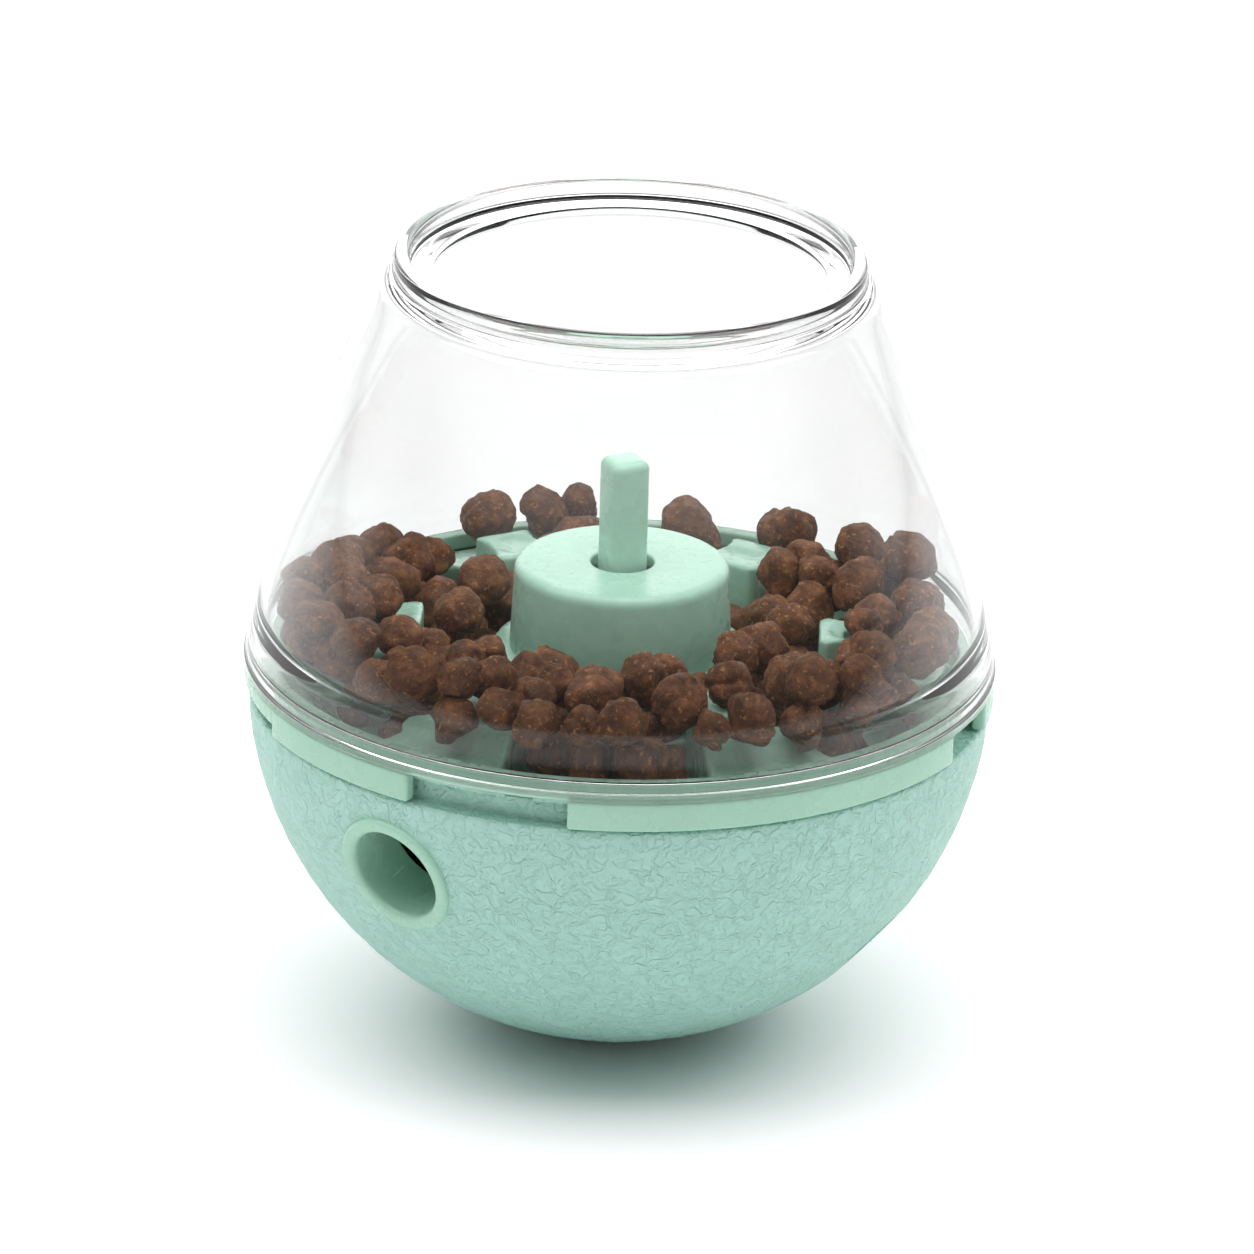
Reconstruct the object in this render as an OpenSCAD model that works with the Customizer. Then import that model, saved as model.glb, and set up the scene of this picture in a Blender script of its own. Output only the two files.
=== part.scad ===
// Treat ball for cats: a weighted round bowl, a food tray with a drop regulator and a clear dome.
// Angles are measured from the front (-Y), growing towards +X, and Z = 0 is what it stands on.

/* [Bowl] */
// Radius of the round bowl
bowl_r = 54.25; // [52:0.25:58]
// Wall of the bowl
bowl_wall = 2.4; // [2:0.1:3]
// Radius of the flat spot that it stands on
flat_r = 6; // [4:0.5:8]
// Drop from the middle of the ball to the ledge under the lock ring
ledge_drop = 3.2; // [2.6:0.2:4]
// How far the neck is set in from the side of the bowl
neck_set = 2.7; // [2.5:0.1:3]
// Wall of the neck
neck_wall = 2.2; // [2:0.1:2.6]
// Height of the neck above the ledge
neck_h = 3.2; // [2.8:0.1:4]

/* [Lock] */
// Height of the lugs on top of the neck
lug_h = 1.2; // [1:0.1:1.6]
// How far the lugs stand out from the neck
lug_out = 1; // [0.8:0.1:1.1]
// Clearance between the cover and the bowl
lock_gap = 0.3; // [0.25:0.05:0.4]
// Angle that the cover turns to unlock
twist = 22; // [16:1:24]
// Width of one hook of the lock ring, as an angle
hook_width = 14; // [8:1:16]
// How far the bands of the lock ring stand out from the bowl
band_proud = 0.6; // [0.3:0.1:0.8]
// Height of the lock ring inside the dome
ring_h = 2.2; // [1.8:0.1:3]

/* [Dome] */
// Wall of the dome
dome_wall = 1.8; // [1.4:0.1:2.4]
// Height of the dome from its lower rim to its shoulder
dome_h = 60.4; // [54:0.2:66]
// Radius of the shoulder at the top
shoulder_r = 35.2; // [33:0.2:38]
// Radius of the curve of its side, seen from the front
side_curve_r = 240; // [160:10:400]
// Thickness of the rim at its foot
rim_h = 1.2; // [1:0.1:1.6]
// Height of the thick band above the rim
thick_band_h = 8; // [6:0.5:11]
// Width of the flange between the shoulder and the open mouth
flange_w = 6.5; // [5.4:0.1:9]
// Thickness of the flange round the mouth
flange_h = 2.3; // [2:0.1:3]
// Width of the raised collar
collar_w = 2.3; // [2:0.1:3]
// Height of the collar above the flange
collar_h = 2.7; // [2:0.1:4]

/* [Outlet] */
// Angle of the outlet from the front
outlet_az = -37.7; // [-50:0.1:-30]
// Slope of the outlet below level
outlet_drop = 17.7; // [14:0.1:20]
// Radius of the hole in the outlet
outlet_r = 7.2; // [6.5:0.1:7.6]
// Wall of the outlet tube
tube_wall = 1.3; // [1:0.1:1.6]
// Length of the outlet tube inside its lip, as a share of the bowl's radius
tube_share = 0.15; // [0.12:0.005:0.17]
// Width of the lip round the outlet
lip_w = 2.3; // [2.1:0.1:2.8]
// How far the lip stands out from the bowl
lip_proud = 0.9; // [0.6:0.1:1.4]

/* [Recess] */
// Angle of the round recess low on the bowl's right side
recess_az = 66; // [60:1:72]
// Slope of the recess below level
recess_drop = 40; // [36:1:44]
// Radius of the recess
recess_r = 5.6; // [4.5:0.1:6.2]
// Depth of the recess in its middle
recess_depth = 1.4; // [0.8:0.1:1.4]

/* [Tray] */
// Height of the tray's floor above the ledge
floor_rise = -4; // [-5:0.1:-2]
// Wall of the tray
tray_wall = 1.6; // [1.4:0.1:2]
// Thickness of the tray's flange
flange_t = 1.1; // [0.9:0.1:1.4]
// Width of the tray's sloped side
side_w = 9; // [8:0.1:10]
// Radius of the hub in the middle of the tray
hub_r = 18.6; // [18:0.1:19]
// Height of the hub above the floor
hub_h = 11.4; // [10:0.1:13]
// Height of the blocks above the floor
block_h = 15; // [12:0.2:16]
// Distance of the block heads from the middle
block_ring_r = 34; // [33:0.2:35]
// Length and width of a block head
head_size = 10; // [9:0.5:11]
// Drop from a block head to its shoulder
shoulder_drop = 3.4; // [2:0.2:5]
// Width of a block's shoulder at the side of the tray
shoulder_w = 21; // [16:0.5:23]
// Depth of the round mark on a block head
mark_depth = 0.5; // [0.3:0.1:1]
// Depth of the scoop in the block at the right
scoop_depth = 4.4; // [3:0.2:5]
// Radius of the drop holes
drop_r = 6.8; // [6:0.1:6.9]
// Distance of the drop holes from the middle
drop_ring_r = 27.4; // [27:0.1:27.6]

/* [Regulator] */
// Radius of the drum at its top edge
drum_r = 15.7; // [14:0.1:16]
// How much wider the drum is at its foot
drum_draft = 0.5; // [0.2:0.1:0.8]
// Height of the drum
drum_h = 13; // [10:0.5:18]
// Wall of the drum
drum_wall = 1.8; // [1.4:0.1:2.4]
// Rounding of the drum's top edge
drum_round = 1.7; // [1:0.1:2.4]
// Radius of the hole in the drum
drum_hole_r = 4.6; // [4.4:0.1:5.5]
// Side of the square post
post_side = 6; // [5.6:0.1:6.2]
// Rounding of the post's upright edges
post_round = 1.4; // [1:0.1:1.8]
// How far the post stands out of the drum
post_out = 16; // [10:0.5:20]
// Angle that the post turns to open the drop holes
regulator_turn = 30; // [20:1:30]
// Radius of the spindle below the post
spindle_r = 3.4; // [3:0.1:3.6]
// Running clearance round the spindle
spindle_gap = 0.06; // [0.03:0.01:0.1]
// Thickness of the shutter
shutter_t = 2; // [1.6:0.1:2.4]
// Radius of the shutter
shutter_r = 36; // [35:0.1:37]

/* [Weight] */
// Height of the weight's flat top above the ground
weight_top = 12; // [9:0.5:14]
// Thickness of the cover over the weight
cover_t = 2; // [1.6:0.1:2.6]
// Distance of the cover's screws from the middle
boss_ring_r = 17; // [14:0.5:18]
// Radius of the screw bosses in the bowl
boss_r = 3.2; // [2.8:0.1:3.8]

/* [Fasteners and clearances] */
// Radius of the screws' shanks
screw_r = 1.25; // [1:0.05:1.5]
// Radius of the screws' heads
head_r = 2.4; // [2.2:0.1:2.6]
// Height of the screws' heads
head_h = 1.4; // [1.2:0.1:1.6]
// Length of the screws below their heads
screw_len = 7; // [6:0.5:8]
// Clearance between parts that are fixed together
seat_gap = 0.1; // [0.05:0.05:0.15]

/* [Food] */
// Smallest radius of a piece of food
food_r_min = 3.3; // [3:0.1:3.8]
// Largest radius of a piece of food
food_r_max = 4.9; // [4.2:0.1:5.2]
// Number of pieces poured into the tray
tray_food = 100; // [20:1:110]
// Number of pieces poured into the bowl
bowl_food = 40; // [4:1:44]

/* [Hidden] */
$fn = 96;
ball_fn = 180;
side_fn = 720;
small_fn = 32;

mint = [0.63, 0.80, 0.72];
steel = [0.72, 0.73, 0.75];
iron = [0.35, 0.35, 0.36];
clear = [0.92, 0.95, 0.96, 0.25];
kibble_brown = [0.36, 0.23, 0.16];
rubber = [0.25, 0.27, 0.26];

// How far a cutter reaches past what it cuts, and how deep a piece sinks into one it is fused to
past = 1;
sunk = 0.2;

// Bowl and neck
mid_z = sqrt(bowl_r * bowl_r - flat_r * flat_r);
ledge_z = mid_z - ledge_drop;
neck_top = ledge_z + neck_h;
neck_r = bowl_r - neck_set;
neck_in = neck_r - neck_wall;
neck_root = 1;
ledge_round = 0.6;
inner_r = bowl_r - bowl_wall;

// Lugs stand on the outer half of the neck, bands and hooks hang from the lock ring
lug_top = neck_top + lug_h;
lug_r = neck_r + lug_out;
lug_root = 0.6;
lugs = [[-116, -94], [-52, -17.4], [-13, 22], [80, 108], [164, 192]];
hooks = [-112, 4, 90, 174];
bands = [[-115.8, -33], [-7.2, 62.5], [76.6, 146.3], [160.4, 230.1]];
shallow_end = -66;
shallow_lift = 1.7;
band_in = lug_r + lock_gap;
band_out = bowl_r + band_proud;
corner_r = 0.5;
corner_inset = 0.02;
stop_width = 1.6;
stop_gap = 0.4;
stop_inset = 0.1;

// Cover
rim_z = lug_top + lock_gap;
rim_proud = 0.15;
rim_r = band_out + rim_proud;
rim_round = 0.4;
band_low = ledge_z + lock_gap;
hook_low = band_low + sunk;
ring_out = (band_in + band_out) / 2;
ring_in = neck_in + lug_root;
ring_wall_out = band_in + sunk / 2;
rim_lap = 0.7;
band_root = 0.4;
shoulder_z = rim_z + dome_h;
side_foot = [band_out, rim_z + rim_h];
side_top = [shoulder_r, shoulder_z];
step_in = 0.9;
mouth_r = shoulder_r - flange_w;
collar_inset = 1;
collar_out = shoulder_r - collar_inset;
collar_round = 0.7;
collar_root = 1;

// Outlet, with distances measured from the middle of the ball
lip_r = outlet_r + lip_w;
tube_r = outlet_r + tube_wall;
lip_sunk = 0.5;
lip_seat = sqrt(bowl_r * bowl_r - lip_r * lip_r) - lip_sunk;
lip_edge = lip_seat + lip_sunk + lip_proud;
mouth_round = 1.5;
tube_len = tube_share * bowl_r;

// Tray
floor_z = ledge_z + floor_rise;
under_z = floor_z - tray_wall;
flange_top = neck_top + flange_t;
tray_out = neck_in - lock_gap;
floor_r = tray_out - tray_wall - side_w;
flange_out = neck_r - lug_root - lock_gap;
hub_top = floor_z + hub_h;
hub_draft = 0.9;
block_top = floor_z + block_h;
shoulder_high = block_top - shoulder_drop;
shoulder_rise = 1;
shoulder_low = flange_top + shoulder_rise;
shoulder_back = 1;
shoulder_start = block_ring_r - shoulder_back;
shoulder_reach = tray_out - tray_wall / 2 - shoulder_start;
shoulder_flare = (shoulder_w - head_size) / 2 / shoulder_reach;
shoulder_fall = (shoulder_high - shoulder_low) / shoulder_reach;
block_az = [-92, -32, 28, 88, 148, 208];
scooped_block = 88;
slotted_block = 148;
covered_blocks = [-32, 28];
drop_turn = 180 / len(block_az);
head_round = 1.4;
side_bite_r = 9;
side_bite = 1.2;
side_bite_back = 1;
mark_inset = 1.6;
mark_r = head_size / 2 - mark_inset;
mark_slot_w = 2.8;
mark_slot_round = 1.2;
scoop_shift = 2;
wall_slope = atan2(flange_top - floor_z, tray_out - tray_wall - floor_r);
key_az = [-16.4, -14.2];
key_w = 1.3;
key_root = 0.5;

// Regulator
drum_top = hub_top + drum_h;
post_top = drum_top + post_out;
post_az = 26.3;
hub_tube_wall = 2.6;
tube_hub_r = spindle_r + hub_tube_wall;
washer_t = 0.8;
collar_z = hub_top + washer_t;
post_collar_w = 3;
post_collar_r = spindle_r + post_collar_w;
post_collar_h = 2;
shutter_top = under_z - lock_gap;
shutter_low = shutter_top - shutter_t;
key_side = spindle_r * 1.3;
drum_screw_ring = 11.4;
drum_screw_az = [30, 150, 270];
drum_boss_r = 2.7;
screw_washer_r = 5;
screw_washer_t = 1;

// Weight
weight_inset = 1;
weight_r = sqrt(inner_r * inner_r - (mid_z - weight_top) * (mid_z - weight_top)) - weight_inset;
cover_low = weight_top + seat_gap;
cover_top = cover_low + cover_t;
cover_crown = 1.2;
boss_az = [30, 150, 270];

// Screws
screw_room = 0.5;
cross_w = 0.6;
cross_reach = head_r * 0.6;

// Food
food_gap = 0.15;
food_tries = 40;
food_pull = 0.05;
food_stretch = [0.1, 0.55];
food_tilt = 20;
first_step = 2.5;
last_step = 0.3;
food_level = 21.5;
bowl_food_room = 7.8;
bowl_food_top = shutter_low - screw_washer_t - head_h - bowl_food_room;
tray_seed = 11;
bowl_seed = 7001;
spot_seed = 500;

function inside_r(r, z) = sqrt(r * r - (mid_z - z) * (mid_z - z));

// Middle of the circle of radius r that passes through p and q and bulges away from the axis
function arc_middle(p, q, r) =
    let (half = norm(q - p) / 2, along = (q - p) / (2 * half))
    (p + q) / 2 - sqrt(r * r - half * half) * [along[1], -along[0]];

// Turns the section in the children through the angles from a to b
module sector(a, b) rotate([0, 0, a - 90]) rotate_extrude(angle = b - a) children();

// Puts the children at an angle from the front and a distance from the axis
module at_az(a, r = 0) rotate([0, 0, a]) translate([0, -r, 0]) children();

// Puts the children on a line from the middle of the ball, with Z outwards
module on_ball(az, drop) translate([0, 0, mid_z]) rotate([0, 0, az]) rotate([90 + drop, 0, 0]) children();
module on_outlet() on_ball(outlet_az, outlet_drop) children();

// Rectangle with its corners rounded by true arcs
module rounded_rect(w, h, r) {
    translate([r, 0]) square([w - 2 * r, h]);
    translate([0, r]) square([w, h - 2 * r]);
    for (x = [r, w - r], y = [r, h - r]) translate([x, y]) circle(r, $fn = small_fn);
}

// Section between two radii and two heights
module block_section(r0, r1, z0, z1) translate([r0, z0]) square([r1 - r0, z1 - z0]);

// Cutter for the sharp corner at one end of a lug, from the radius from outwards;
// side is 1 where the piece lies past the angle a, and up is 1 where it lies above z
module end_corner(a, side, z, up, from) at_az(a, from) rotate([90, 0, 0])
    linear_extrude(band_out + past - from) translate([0, z]) flip(side, up) difference() {
        translate([-past, -past]) square(past + corner_r);
        translate([corner_r, corner_r]) circle(corner_r, $fn = small_fn);
    }

module flip(x, y) mirror([x < 0 ? 1 : 0, 0]) mirror([0, y < 0 ? 1 : 0]) children();

// Cutters that part a ring into the pieces named by their angles
module part_ring(pieces, r0, r1, z0, z1) for (i = [0 : len(pieces) - 1]) {
    next = i < len(pieces) - 1 ? pieces[i + 1][0] : pieces[0][0] + 360;
    sector(pieces[i][1], next) block_section(r0, r1, z0, z1);
}

// Bowl
module bowl_section() {
    difference() {
        intersection() {
            translate([0, mid_z]) circle(bowl_r, $fn = ball_fn);
            block_section(0, bowl_r, 0, ledge_z);
        }
        intersection() {
            translate([0, mid_z]) circle(inner_r, $fn = ball_fn);
            block_section(0, neck_in, bowl_wall, ledge_z + past);
        }
        translate([inside_r(bowl_r, ledge_z) - ledge_round, ledge_z - ledge_round]) difference() {
            square(2 * ledge_round);
            circle(ledge_round, $fn = small_fn);
        }
    }
    polygon([
        [neck_in, ledge_z - neck_root], [neck_r, ledge_z - neck_root], [neck_r, neck_top],
        [lug_r, neck_top], [lug_r, lug_top], [neck_r - lug_root, lug_top],
        [neck_r - lug_root, neck_top], [neck_in, neck_top]
    ]);
}

module turn_stop(a) sector(a, a + stop_width)
    block_section(neck_r - lug_root, lug_r - stop_inset, ledge_z - neck_root, neck_top - lock_gap);

module base_bowl() color(mint) difference() {
    union() {
        rotate_extrude() bowl_section();
        for (h = hooks) {
            turn_stop(h - stop_gap - stop_width);
            turn_stop(h + hook_width + twist + stop_gap);
        }
        intersection() {
            for (a = boss_az) at_az(a, boss_ring_r) cylinder(r = boss_r, h = weight_top);
            translate([0, 0, mid_z]) sphere(bowl_r - bowl_wall / 2);
        }
    }
    part_ring(lugs, neck_in - past, band_out, neck_top, lug_top + past);
    for (l = lugs, end = [[l[0], 1], [l[1], -1]]) {
        end_corner(end[0], end[1], neck_top, 1, neck_r + corner_inset);
        end_corner(end[0], end[1], lug_top, -1, neck_in);
    }
    for (a = boss_az) at_az(a, boss_ring_r) translate([0, 0, cover_top - head_h - screw_len - screw_room])
        cylinder(r = screw_r + seat_gap / 2, h = screw_len + screw_room + past, $fn = small_fn);
    on_outlet() {
        translate([0, 0, mid_z / 2]) cylinder(r = tube_r + seat_gap, h = bowl_r);
        translate([0, 0, lip_seat]) cylinder(r = lip_r + seat_gap, h = bowl_r);
    }
    on_ball(recess_az, recess_drop) translate([0, 0, bowl_r - recess_depth])
        cylinder(r = recess_r, h = bowl_r);
}

module outlet_section() difference() {
    union() {
        block_section(outlet_r, tube_r, lip_seat - tube_len, lip_seat + lip_sunk);
        block_section(outlet_r, lip_r - lip_proud, lip_seat, lip_edge);
        block_section(outlet_r, lip_r, lip_seat, lip_edge - lip_proud);
        intersection() {
            translate([lip_r - lip_proud, lip_edge - lip_proud]) circle(lip_proud, $fn = small_fn);
            block_section(outlet_r, lip_r, lip_seat, lip_edge);
        }
    }
    translate([outlet_r, lip_edge - mouth_round]) difference() {
        square(2 * mouth_round);
        translate([mouth_round, 0]) circle(mouth_round, $fn = small_fn);
        translate([mouth_round, 0]) square(2 * mouth_round);
    }
}

module outlet_tube() color(mint) on_outlet() rotate_extrude() outlet_section();

// Weight in the bottom of the bowl
module counterweight() color(iron) difference() {
    rotate_extrude() intersection() {
        translate([0, mid_z]) circle(inner_r - seat_gap, $fn = ball_fn);
        block_section(0, weight_r, bowl_wall + seat_gap, weight_top);
    }
    for (a = boss_az) at_az(a, boss_ring_r) cylinder(r = boss_r + 2 * seat_gap, h = weight_top + past);
}

module weight_cover() color(mint) difference() {
    rotate_extrude() intersection() {
        translate([0, mid_z]) circle(inner_r - seat_gap, $fn = ball_fn);
        polygon([[0, cover_low], [bowl_r, cover_low], [bowl_r, cover_top],
            [inside_r(inner_r, cover_top), cover_top], [0, cover_top + cover_crown]]);
    }
    for (a = boss_az) at_az(a, boss_ring_r) {
        translate([0, 0, weight_top]) cylinder(r = screw_r + seat_gap, h = cover_top, $fn = small_fn);
        translate([0, 0, cover_top - head_h]) cylinder(r = head_r + seat_gap, h = cover_top, $fn = small_fn);
    }
}

// Pan head screw, with the underside of its head at Z = 0 and its head upwards
module pan_screw() difference() {
    union() {
        cylinder(r = head_r, h = head_h, $fn = small_fn);
        translate([0, 0, -screw_len]) cylinder(r = screw_r, h = screw_len + sunk, $fn = small_fn);
    }
    for (a = [0, 90]) rotate([0, 0, a]) translate([-cross_reach, -cross_w / 2, head_h / 2])
        cube([2 * cross_reach, cross_w, head_h]);
}

module weight_cover_screws() color(steel) for (a = boss_az) at_az(a, boss_ring_r)
    translate([0, 0, cover_top - head_h]) pan_screw();

// Tray
module tray_section() {
    polygon([
        [tube_hub_r - sunk, hub_top - tray_wall], [hub_r - tray_wall, hub_top - tray_wall],
        [hub_r + hub_draft - tray_wall, under_z], [floor_r + tray_wall / 2, under_z],
        [tray_out, neck_top], [flange_out, neck_top], [flange_out, flange_top],
        [tray_out - tray_wall, flange_top], [floor_r, floor_z],
        [hub_r + hub_draft, floor_z], [hub_r, hub_top], [tube_hub_r - sunk, hub_top]
    ]);
    block_section(spindle_r + spindle_gap, tube_hub_r, under_z, hub_top);
}

module block_outline() difference() {
    translate([-head_size / 2, -head_size / 2]) rounded_rect(head_size, head_size, head_round);
    for (side = [-1, 1])
        translate([side * (head_size / 2 + side_bite_r - side_bite), -side_bite_back]) circle(side_bite_r);
}

// Wedge from a block head to the side of the tray, wider and lower towards the side
module block_shoulder(far = shoulder_back - shoulder_reach) intersection() {
    translate([0, 0, under_z + sunk]) linear_extrude(block_h) polygon([
        [-head_size / 2, shoulder_back], [head_size / 2, shoulder_back],
        [shoulder_w / 2, far], [-shoulder_w / 2, far]
    ]);
    rotate([90, 0, 90]) translate([0, 0, -shoulder_w]) linear_extrude(2 * shoulder_w) polygon([
        [shoulder_back, under_z], [shoulder_back, shoulder_high], [far, shoulder_low], [far, under_z]
    ]);
}

// Shallow mark on a block head, round or a slot along the tray's side
module head_mark(slot) translate([0, 0, block_top - mark_depth]) linear_extrude(mark_depth + past)
    if (slot) translate([-mark_r, -mark_slot_w / 2]) rounded_rect(2 * mark_r, mark_slot_w, mark_slot_round);
    else circle(mark_r);

module tray_block(a) difference() {
    union() {
        translate([0, 0, under_z + sunk]) linear_extrude(block_top - under_z - sunk) block_outline();
        block_shoulder();
    }
    head_mark(a == slotted_block);
    if (a == scooped_block) translate([0, -scoop_shift, block_top - scoop_depth]) {
        cylinder(r = mark_r, h = scoop_depth + past);
        translate([-mark_r, -head_size, 0]) cube([2 * mark_r, head_size, scoop_depth + past]);
    }
}

// Everything that lies within the tray's outer wall, so that blocks end inside it
module tray_limit() rotate_extrude() polygon([
    [0, under_z], [floor_r + tray_wall / 2, under_z], [tray_out - sunk, neck_top],
    [tray_out - sunk, block_top + past], [0, block_top + past]
]);

module food_tray() color(mint) difference() {
    union() {
        rotate_extrude() tray_section();
        intersection() {
            for (a = block_az) at_az(a, block_ring_r) tray_block(a);
            tray_limit();
        }
        for (a = key_az) at_az(a, flange_out - key_root) translate([-key_w / 2, -lug_root, neck_top])
            cube([key_w, lug_root + key_root, flange_t]);
    }
    for (a = block_az) at_az(a + drop_turn, drop_ring_r) translate([0, 0, under_z - past])
        cylinder(r = drop_r, h = tray_wall + 2 * past);
    for (a = drum_screw_az) at_az(a, drum_screw_ring) translate([0, 0, hub_top - tray_wall - past])
        cylinder(r = screw_r + seat_gap, h = tray_wall + 2 * past, $fn = small_fn);
}

// Drum over the middle of the tray
module drum_section() {
    foot_r = drum_r + drum_draft;
    edge_r = drum_r - drum_round;
    edge_z = drum_top - drum_round;
    difference() {
        union() {
            polygon([[0, hub_top], [foot_r, hub_top], [drum_r, edge_z], [0, edge_z]]);
            block_section(0, edge_r, hub_top, drum_top);
            translate([edge_r, edge_z]) circle(drum_round);
        }
        block_section(-drum_r, 0, 0, drum_top + past);
        block_section(-past, drum_hole_r, 0, drum_top + past);
        polygon([
            [0, hub_top - past], [foot_r - drum_wall, hub_top - past],
            [drum_r - drum_wall, drum_top - drum_wall], [0, drum_top - drum_wall]
        ]);
    }
}

module drum() color(mint) difference() {
    union() {
        rotate_extrude() drum_section();
        for (a = drum_screw_az) at_az(a, drum_screw_ring) translate([0, 0, hub_top])
            cylinder(r = drum_boss_r, h = drum_h - drum_wall / 2);
    }
    for (a = drum_screw_az) at_az(a, drum_screw_ring) translate([0, 0, hub_top - past])
        cylinder(r = screw_r + seat_gap / 2, h = screw_len + past, $fn = small_fn);
}

module drum_screws() color(steel) for (a = drum_screw_az) at_az(a, drum_screw_ring)
    translate([0, 0, hub_top - tray_wall]) mirror([0, 0, 1]) pan_screw();

// Post and shutter, which turn together
module post_column() {
    corner = post_side / 2 - post_round;
    hull() for (x = [-corner, corner], y = [-corner, corner]) translate([x, y, 0]) {
        translate([0, 0, collar_z + sunk]) cylinder(r = post_round, h = post_collar_h, $fn = small_fn);
        translate([0, 0, post_top - post_round]) sphere(post_round, $fn = small_fn);
    }
}

module post() color(mint) difference() {
    union() {
        at_az(post_az) post_column();
        translate([0, 0, collar_z]) cylinder(r = post_collar_r, h = post_collar_h);
        translate([0, 0, shutter_top]) cylinder(r = spindle_r, h = collar_z - shutter_top + sunk);
        translate([-key_side / 2, -key_side / 2, shutter_low + sunk]) cube([key_side, key_side, shutter_t]);
    }
    translate([0, 0, shutter_low - past])
        cylinder(r = screw_r + seat_gap / 2, h = screw_len + past, $fn = small_fn);
}

module friction_washer() color(rubber) translate([0, 0, hub_top]) difference() {
    cylinder(r = post_collar_r, h = washer_t);
    translate([0, 0, -past]) cylinder(r = spindle_r + seat_gap, h = washer_t + 2 * past);
}

module shutter() color(mint) difference() {
    translate([0, 0, shutter_low]) cylinder(r = shutter_r, h = shutter_t);
    for (a = block_az) at_az(a + drop_turn - regulator_turn, drop_ring_r)
        translate([0, 0, shutter_low - past]) cylinder(r = drop_r, h = shutter_t + 2 * past);
    translate([-key_side / 2 - seat_gap, -key_side / 2 - seat_gap, shutter_low - past])
        cube([key_side + 2 * seat_gap, key_side + 2 * seat_gap, shutter_t + 2 * past]);
}

module shutter_washer() color(steel) translate([0, 0, shutter_low - screw_washer_t]) difference() {
    cylinder(r = screw_washer_r, h = screw_washer_t);
    translate([0, 0, -past])
        cylinder(r = screw_r + seat_gap, h = screw_washer_t + 2 * past, $fn = small_fn);
}

module shutter_screw() color(steel) translate([0, 0, shutter_low - screw_washer_t])
    mirror([0, 0, 1]) pan_screw();

// Cover
module lock_ring() color(mint) {
    difference() {
        rotate_extrude() polygon([
            [band_in, band_low], [band_out, band_low], [band_out, rim_z - seat_gap / 2],
            [ring_out, rim_z - seat_gap / 2], [ring_out, rim_z + rim_lap],
            [ring_wall_out, rim_z + rim_lap], [ring_wall_out, rim_z + ring_h],
            [ring_in, rim_z + ring_h], [ring_in, rim_z], [band_in, rim_z]
        ]);
        part_ring(bands, band_in - past, band_out + past, band_low - past, rim_z);
        sector(bands[0][0] - past, shallow_end)
            block_section(band_in - past, band_out + past, band_low - past, band_low + shallow_lift);
    }
    for (h = hooks) sector(h, h + hook_width)
        block_section(neck_r + lock_gap, band_in + band_root, hook_low, neck_top - lock_gap);
}

module dome_section() {
    middle = arc_middle(side_foot, side_top, side_curve_r);
    difference() {
        intersection() {
            translate(middle) circle(side_curve_r, $fn = side_fn);
            block_section(0, rim_r, rim_z + rim_h, shoulder_z);
        }
        intersection() {
            translate(middle) circle(side_curve_r - dome_wall, $fn = side_fn);
            block_section(-past, rim_r, rim_z + rim_h + thick_band_h, shoulder_z - flange_h);
        }
        intersection() {
            translate(middle) circle(side_curve_r - dome_wall - step_in, $fn = side_fn);
            block_section(-past, rim_r, rim_z, shoulder_z - flange_h);
        }
        block_section(-past, ring_wall_out + seat_gap, rim_z, rim_z + ring_h + seat_gap);
        block_section(-past, mouth_r, rim_z, shoulder_z + past);
    }
    difference() {
        translate([ring_wall_out + seat_gap, rim_z])
            rounded_rect(rim_r - ring_wall_out - seat_gap, rim_h + sunk, rim_round);
        block_section(0, ring_out + seat_gap, rim_z - past, rim_z + rim_lap + seat_gap);
    }
    translate([collar_out - collar_w, shoulder_z - collar_root])
        rounded_rect(collar_w, collar_h + collar_root, collar_round);
}

module clear_dome() color(clear) rotate_extrude() dome_section();

// Food: rounded pieces dropped one by one, each where it comes to lie lowest of several tries
function size_of(piece) = piece[3];
function balls_of(piece) = let (along = piece[4]) [for (s = [-1, 0, 1])
    [piece[0] + s * along[0], piece[1] + s * along[1], piece[2] + s * along[2], size_of(piece)]];

// Height at which a ball at x, y with radius r lies on the balls that are there already
function lie_on(x, y, r, balls) = max([0, for (b = balls)
    let (d = (x - b[0]) * (x - b[0]) + (y - b[1]) * (y - b[1]), reach = r + b[3] + food_gap)
    if (d < reach * reach) b[2] + sqrt(reach * reach - d)]);

// A piece put down at x, y: where it lies on the ground and on the balls near it
function put(piece, x, y, balls, ground, free) = let (
    r = size_of(piece), along = piece[4],
    places = [for (s = [-1, 0, 1]) [x + s * along[0], y + s * along[1], s * along[2]]],
    shut = [for (p = places) if (!free(p[0], p[1], r)) p],
    span = 3 * food_r_max,
    near = [for (b = balls) if (abs(b[0] - x) < span && abs(b[1] - y) < span) b]
) [x, y, len(shut) > 0 ? barred :
    max([for (p = places) max(ground(p[0], p[1], r), lie_on(p[0], p[1], r, near)) - p[2]]), r, along];

// Low places come first, and of equal ones those near the middle, so that pieces lie close together
function score(piece) = piece[2] + food_pull * norm([piece[0], piece[1]]);
function best_of(tries) = let (low = min([for (t = tries) score(t)]))
    [for (t = tries) if (score(t) == low) t][0];

// Slides a piece downhill by smaller and smaller steps to where it lies best
function settle(piece, step, balls, ground, free) = step < last_step ? piece :
    let (best = best_of([piece, for (turn = [0 : 60 : 300])
        put(piece, piece[0] + step * cos(turn), piece[1] + step * sin(turn), balls, ground, free)]))
    settle(best, best == piece ? step / 2 : step, balls, ground, free);

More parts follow.
